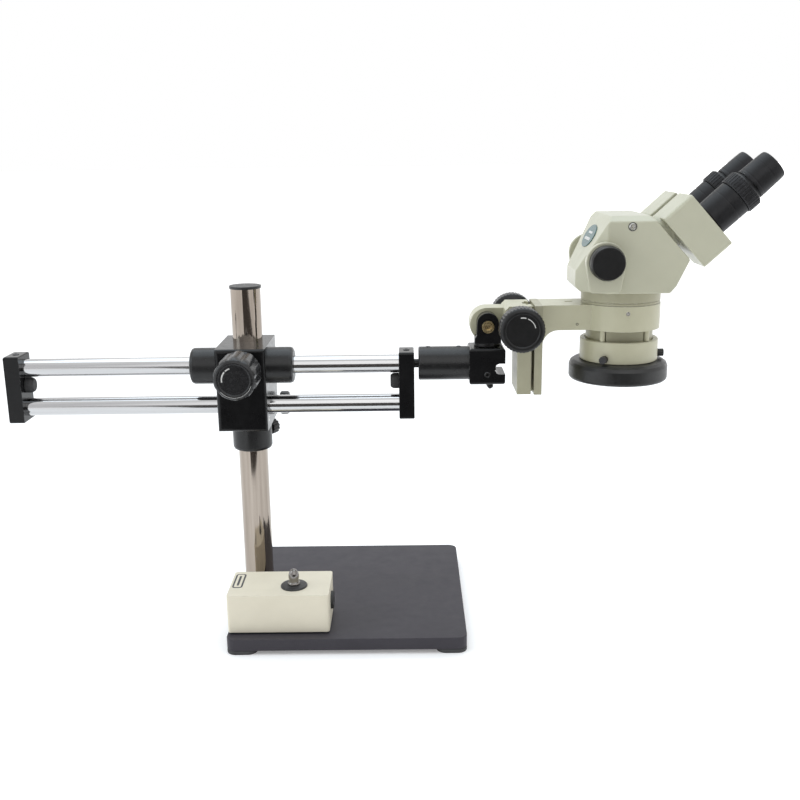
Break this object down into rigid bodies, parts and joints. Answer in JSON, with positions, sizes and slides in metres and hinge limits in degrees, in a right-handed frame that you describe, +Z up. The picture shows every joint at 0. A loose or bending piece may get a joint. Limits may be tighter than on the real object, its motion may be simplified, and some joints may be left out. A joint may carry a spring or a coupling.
{
  "type": "stereo microscope on boom stand",
  "caption": "Stereo zoom microscope with a ring light, carried by a double-bar boom on a post and flat base, with a lamp box on the base.",
  "frame": {"origin": "middle of the object's footprint box on the floor, under the feet", "axes": "+X along the boom towards the microscope, +Y to the back, away from the lamp box, +Z up"},
  "size_m": [0.7845, 0.25, 0.499],
  "materials": {
    "base_paint": "dark grey semi-gloss stove enamel, faintly pebbled",
    "foot_rubber": "moulded black rubber",
    "chrome_post": "bright chrome plate over steel tube",
    "chrome_bar": "bright hard chrome on ground steel bar",
    "black_plastic": "black moulded plastic",
    "black_gloss_plastic": "glossy black plastic",
    "plain_steel": "plain machined steel",
    "cream_box": "cream powder coat on folded sheet",
    "knob_metal": "dark plated metal",
    "black_satin": "satin black anodised",
    "black_enamel": "glossy black enamel on a machined block",
    "bumper_rubber": "black rubber",
    "bolt_brass": "yellow passivated bolt",
    "cream_paint": "cream enamel on cast metal, satin",
    "cream_head": "cream enamel on die casting, satin with fine grain",
    "knob_plastic": "black moulded grip",
    "badge": "dark teal blank badge",
    "lens_glass": "coated optical glass",
    "lamp_plastic": "black moulded plastic, satin",
    "lamp_white": "white solder-masked lamp board",
    "led_clear": "clear moulded lamp domes",
    "eye_black": "satin black anodised and moulded eyepiece parts"
  },
  "bodies": {
    "stand": {"base_plate": "base_paint", "base_feet": "foot_rubber", "post": "chrome_post", "post_cap": "black_plastic", "post_bolt": "plain_steel", "box_shell": "cream_box", "box_floor": "black_plastic", "box_dial": "black_plastic", "box_socket": "black_plastic"},
    "dimmer": {"box_knob": "knob_metal"},
    "power_switch": {"box_switch": "black_gloss_plastic"},
    "collar": {"collar": "black_satin"},
    "collar_screw": {"collar_screw": "black_plastic"},
    "block": {"block_body": "black_enamel", "bearing_sleeves": "black_satin"},
    "front_knob": {"front_knob": "black_plastic"},
    "rear_knob": {"rear_knob": "black_plastic"},
    "boom": {"bar_upper": "chrome_bar", "bar_lower": "chrome_bar", "end_plate_left": "black_enamel", "end_plate_right": "black_enamel", "bumpers": "bumper_rubber"},
    "boom_head": {"roll_barrel": "black_satin", "swivel_cube": "black_enamel"},
    "lock_lever": {"lock_lever": "black_satin"},
    "upright": {"spindle": "black_satin", "tilt_ear": "black_enamel", "tilt_bolt": "bolt_brass"},
    "focus_mount": {"mount_body": "cream_paint", "fixed_rail": "cream_paint"},
    "pinion": {"pinion": "plain_steel", "focus_knob_near": "knob_plastic", "focus_knob_far": "knob_plastic"},
    "focus_slide": {"slide_rail": "cream_paint", "focus_arm": "cream_paint", "ring_screw": "plain_steel"},
    "head": {"head_neck": "cream_paint", "head_body": "cream_head", "head_badge": "badge", "lower_housing": "cream_paint", "objective_lens": "lens_glass", "light_adaptor": "cream_paint"},
    "adaptor_screw_a": {"adaptor_screw_a": "black_plastic"},
    "adaptor_screw_b": {"adaptor_screw_b": "black_plastic"},
    "adaptor_screw_c": {"adaptor_screw_c": "black_plastic"},
    "ring_light": {"lamp_body": "lamp_plastic", "lamp_board": "lamp_white", "lamp_leds": "led_clear"},
    "zoom": {"zoom_knob_near": "knob_plastic", "zoom_knob_far": "knob_plastic"},
    "prism_near": {"prism_housing_near": "cream_head", "eye_tube_near": "eye_black"},
    "prism_far": {"prism_housing_far": "cream_head", "eye_tube_far": "eye_black"},
    "dioptre_near": {"dioptre_ring_near": "eye_black"},
    "dioptre_far": {"dioptre_ring_far": "eye_black"},
    "eyepiece_near": {"eyepiece_near": "eye_black", "eye_lens_near": "lens_glass"},
    "eyepiece_far": {"eyepiece_far": "eye_black", "eye_lens_far": "lens_glass"}
  },
  "joints": [
    {"name": "dimmer_turn", "type": "hinge", "parent": "stand", "child": "dimmer", "pos_m": [-0.09635, -0.089, 0.061], "axis": [0, 0, 1], "range_deg": [-140, 140]},
    {"name": "switch_rock", "type": "hinge", "parent": "stand", "child": "power_switch", "pos_m": [-0.16065, -0.0823, 0.0404], "axis": [0, 1, 0], "range_deg": [-8, 8]},
    {"name": "height_slide", "type": "slide", "parent": "stand", "child": "collar", "axis": [0, 0, 1], "range_m": [-0.12, 0.04]},
    {"name": "collar_screw_turn", "type": "hinge", "parent": "collar", "child": "collar_screw", "pos_m": [-0.13498, 0.01638, 0.204], "axis": [0.5736, 0.8192, 0], "continuous": true},
    {"name": "post_swing", "type": "hinge", "parent": "collar", "child": "block", "pos_m": [-0.14645, 0, 0.26], "axis": [0, 0, 1], "continuous": true},
    {"name": "front_knob_turn", "type": "hinge", "parent": "block", "child": "front_knob", "pos_m": [-0.14445, -0.06, 0.2883], "axis": [0, 1, 0], "continuous": true},
    {"name": "rear_knob_turn", "type": "hinge", "parent": "block", "child": "rear_knob", "pos_m": [-0.12045, 0.024, 0.232], "axis": [1, 0, 0], "continuous": true},
    {"name": "boom_slide", "type": "slide", "parent": "block", "child": "boom", "axis": [1, 0, 0], "range_m": [-0.1, 0.165]},
    {"name": "roll_turn", "type": "hinge", "parent": "boom", "child": "boom_head", "pos_m": [0.05355, -0.038, 0.2883], "axis": [1, 0, 0], "range_deg": [-45, 45]},
    {"name": "lever_turn", "type": "hinge", "parent": "boom_head", "child": "lock_lever", "pos_m": [0.09855, -0.019, 0.286], "axis": [0, 1, 0], "range_deg": [-60, 0]},
    {"name": "upright_swivel", "type": "hinge", "parent": "boom_head", "child": "upright", "pos_m": [0.10885, -0.038, 0.29], "axis": [0, 0, 1], "range_deg": [-80, 80]},
    {"name": "tilt_turn", "type": "hinge", "parent": "upright", "child": "focus_mount", "pos_m": [0.10885, -0.038, 0.3285], "axis": [0, 1, 0], "range_deg": [-45, 1]},
    {"name": "pinion_turn", "type": "hinge", "parent": "focus_mount", "child": "pinion", "pos_m": [0.13955, -0.038, 0.3315], "axis": [0, 1, 0], "range_deg": [-180, 180]},
    {"name": "focus_travel", "type": "slide", "parent": "focus_mount", "child": "focus_slide", "axis": [0, 0, 1], "range_m": [-0.025, 0.025]},
    {"name": "head_turn", "type": "hinge", "parent": "focus_slide", "child": "head", "pos_m": [0.24595, -0.038, 0.338], "axis": [0, 0, 1], "continuous": true},
    {"name": "adaptor_screw_a_turn", "type": "hinge", "parent": "head", "child": "adaptor_screw_a", "pos_m": [0.22535, -0.07229, 0.297], "axis": [-0.515, -0.8572, 0], "continuous": true},
    {"name": "adaptor_screw_b_turn", "type": "hinge", "parent": "head", "child": "adaptor_screw_b", "pos_m": [0.28594, -0.0387, 0.297], "axis": [0.9998, -0.0175, 0], "continuous": true},
    {"name": "adaptor_screw_c_turn", "type": "hinge", "parent": "head", "child": "adaptor_screw_c", "pos_m": [0.22656, -0.00301, 0.297], "axis": [-0.4848, 0.8746, 0], "continuous": true},
    {"name": "ring_light_turn", "type": "hinge", "parent": "head", "child": "ring_light", "pos_m": [0.24595, -0.038, 0.285], "axis": [0, 0, 1], "continuous": true},
    {"name": "zoom_turn", "type": "hinge", "parent": "head", "child": "zoom", "pos_m": [0.21955, -0.038, 0.397], "axis": [0, 1, 0], "range_deg": [-130, 130]},
    {"name": "prism_near_turn", "type": "hinge", "parent": "head", "child": "prism_near", "pos_m": [0.2807, -0.061, 0.42229], "axis": [0.7431, 0, 0.6691], "range_deg": [-13.5, 11.5]},
    {"name": "prism_far_turn", "type": "hinge", "parent": "head", "child": "prism_far", "pos_m": [0.2807, -0.015, 0.42229], "axis": [0.7431, 0, 0.6691], "range_deg": [-11.5, 13.5]},
    {"name": "eyepiece_near_focus", "type": "slide", "parent": "prism_near", "child": "eyepiece_near", "axis": [0.7431, 0, 0.6691], "range_m": [-0.002, 0.002]},
    {"name": "dioptre_near_turn", "type": "hinge", "parent": "prism_near", "child": "dioptre_near", "pos_m": [0.35287, -0.07, 0.4617], "axis": [0.7431, 0, 0.6691], "range_deg": [-90.01, 90.01]},
    {"name": "eyepiece_far_focus", "type": "slide", "parent": "prism_far", "child": "eyepiece_far", "axis": [0.7431, 0, 0.6691], "range_m": [-0.002, 0.002]},
    {"name": "dioptre_far_turn", "type": "hinge", "parent": "prism_far", "child": "dioptre_far", "pos_m": [0.35287, -0.006, 0.4617], "axis": [0.7431, 0, 0.6691], "range_deg": [-90.01, 90.01]}
  ],
  "couplings": [
    {"joint": "pinion_turn", "follows": "focus_travel", "rad_per_m": -125},
    {"joint": "prism_far_turn", "follows": "prism_near_turn", "ratio": -1},
    {"joint": "dioptre_near_turn", "follows": "eyepiece_near_focus", "rad_per_m": 785.4},
    {"joint": "dioptre_far_turn", "follows": "eyepiece_far_focus", "rad_per_m": 785.4}
  ]
}
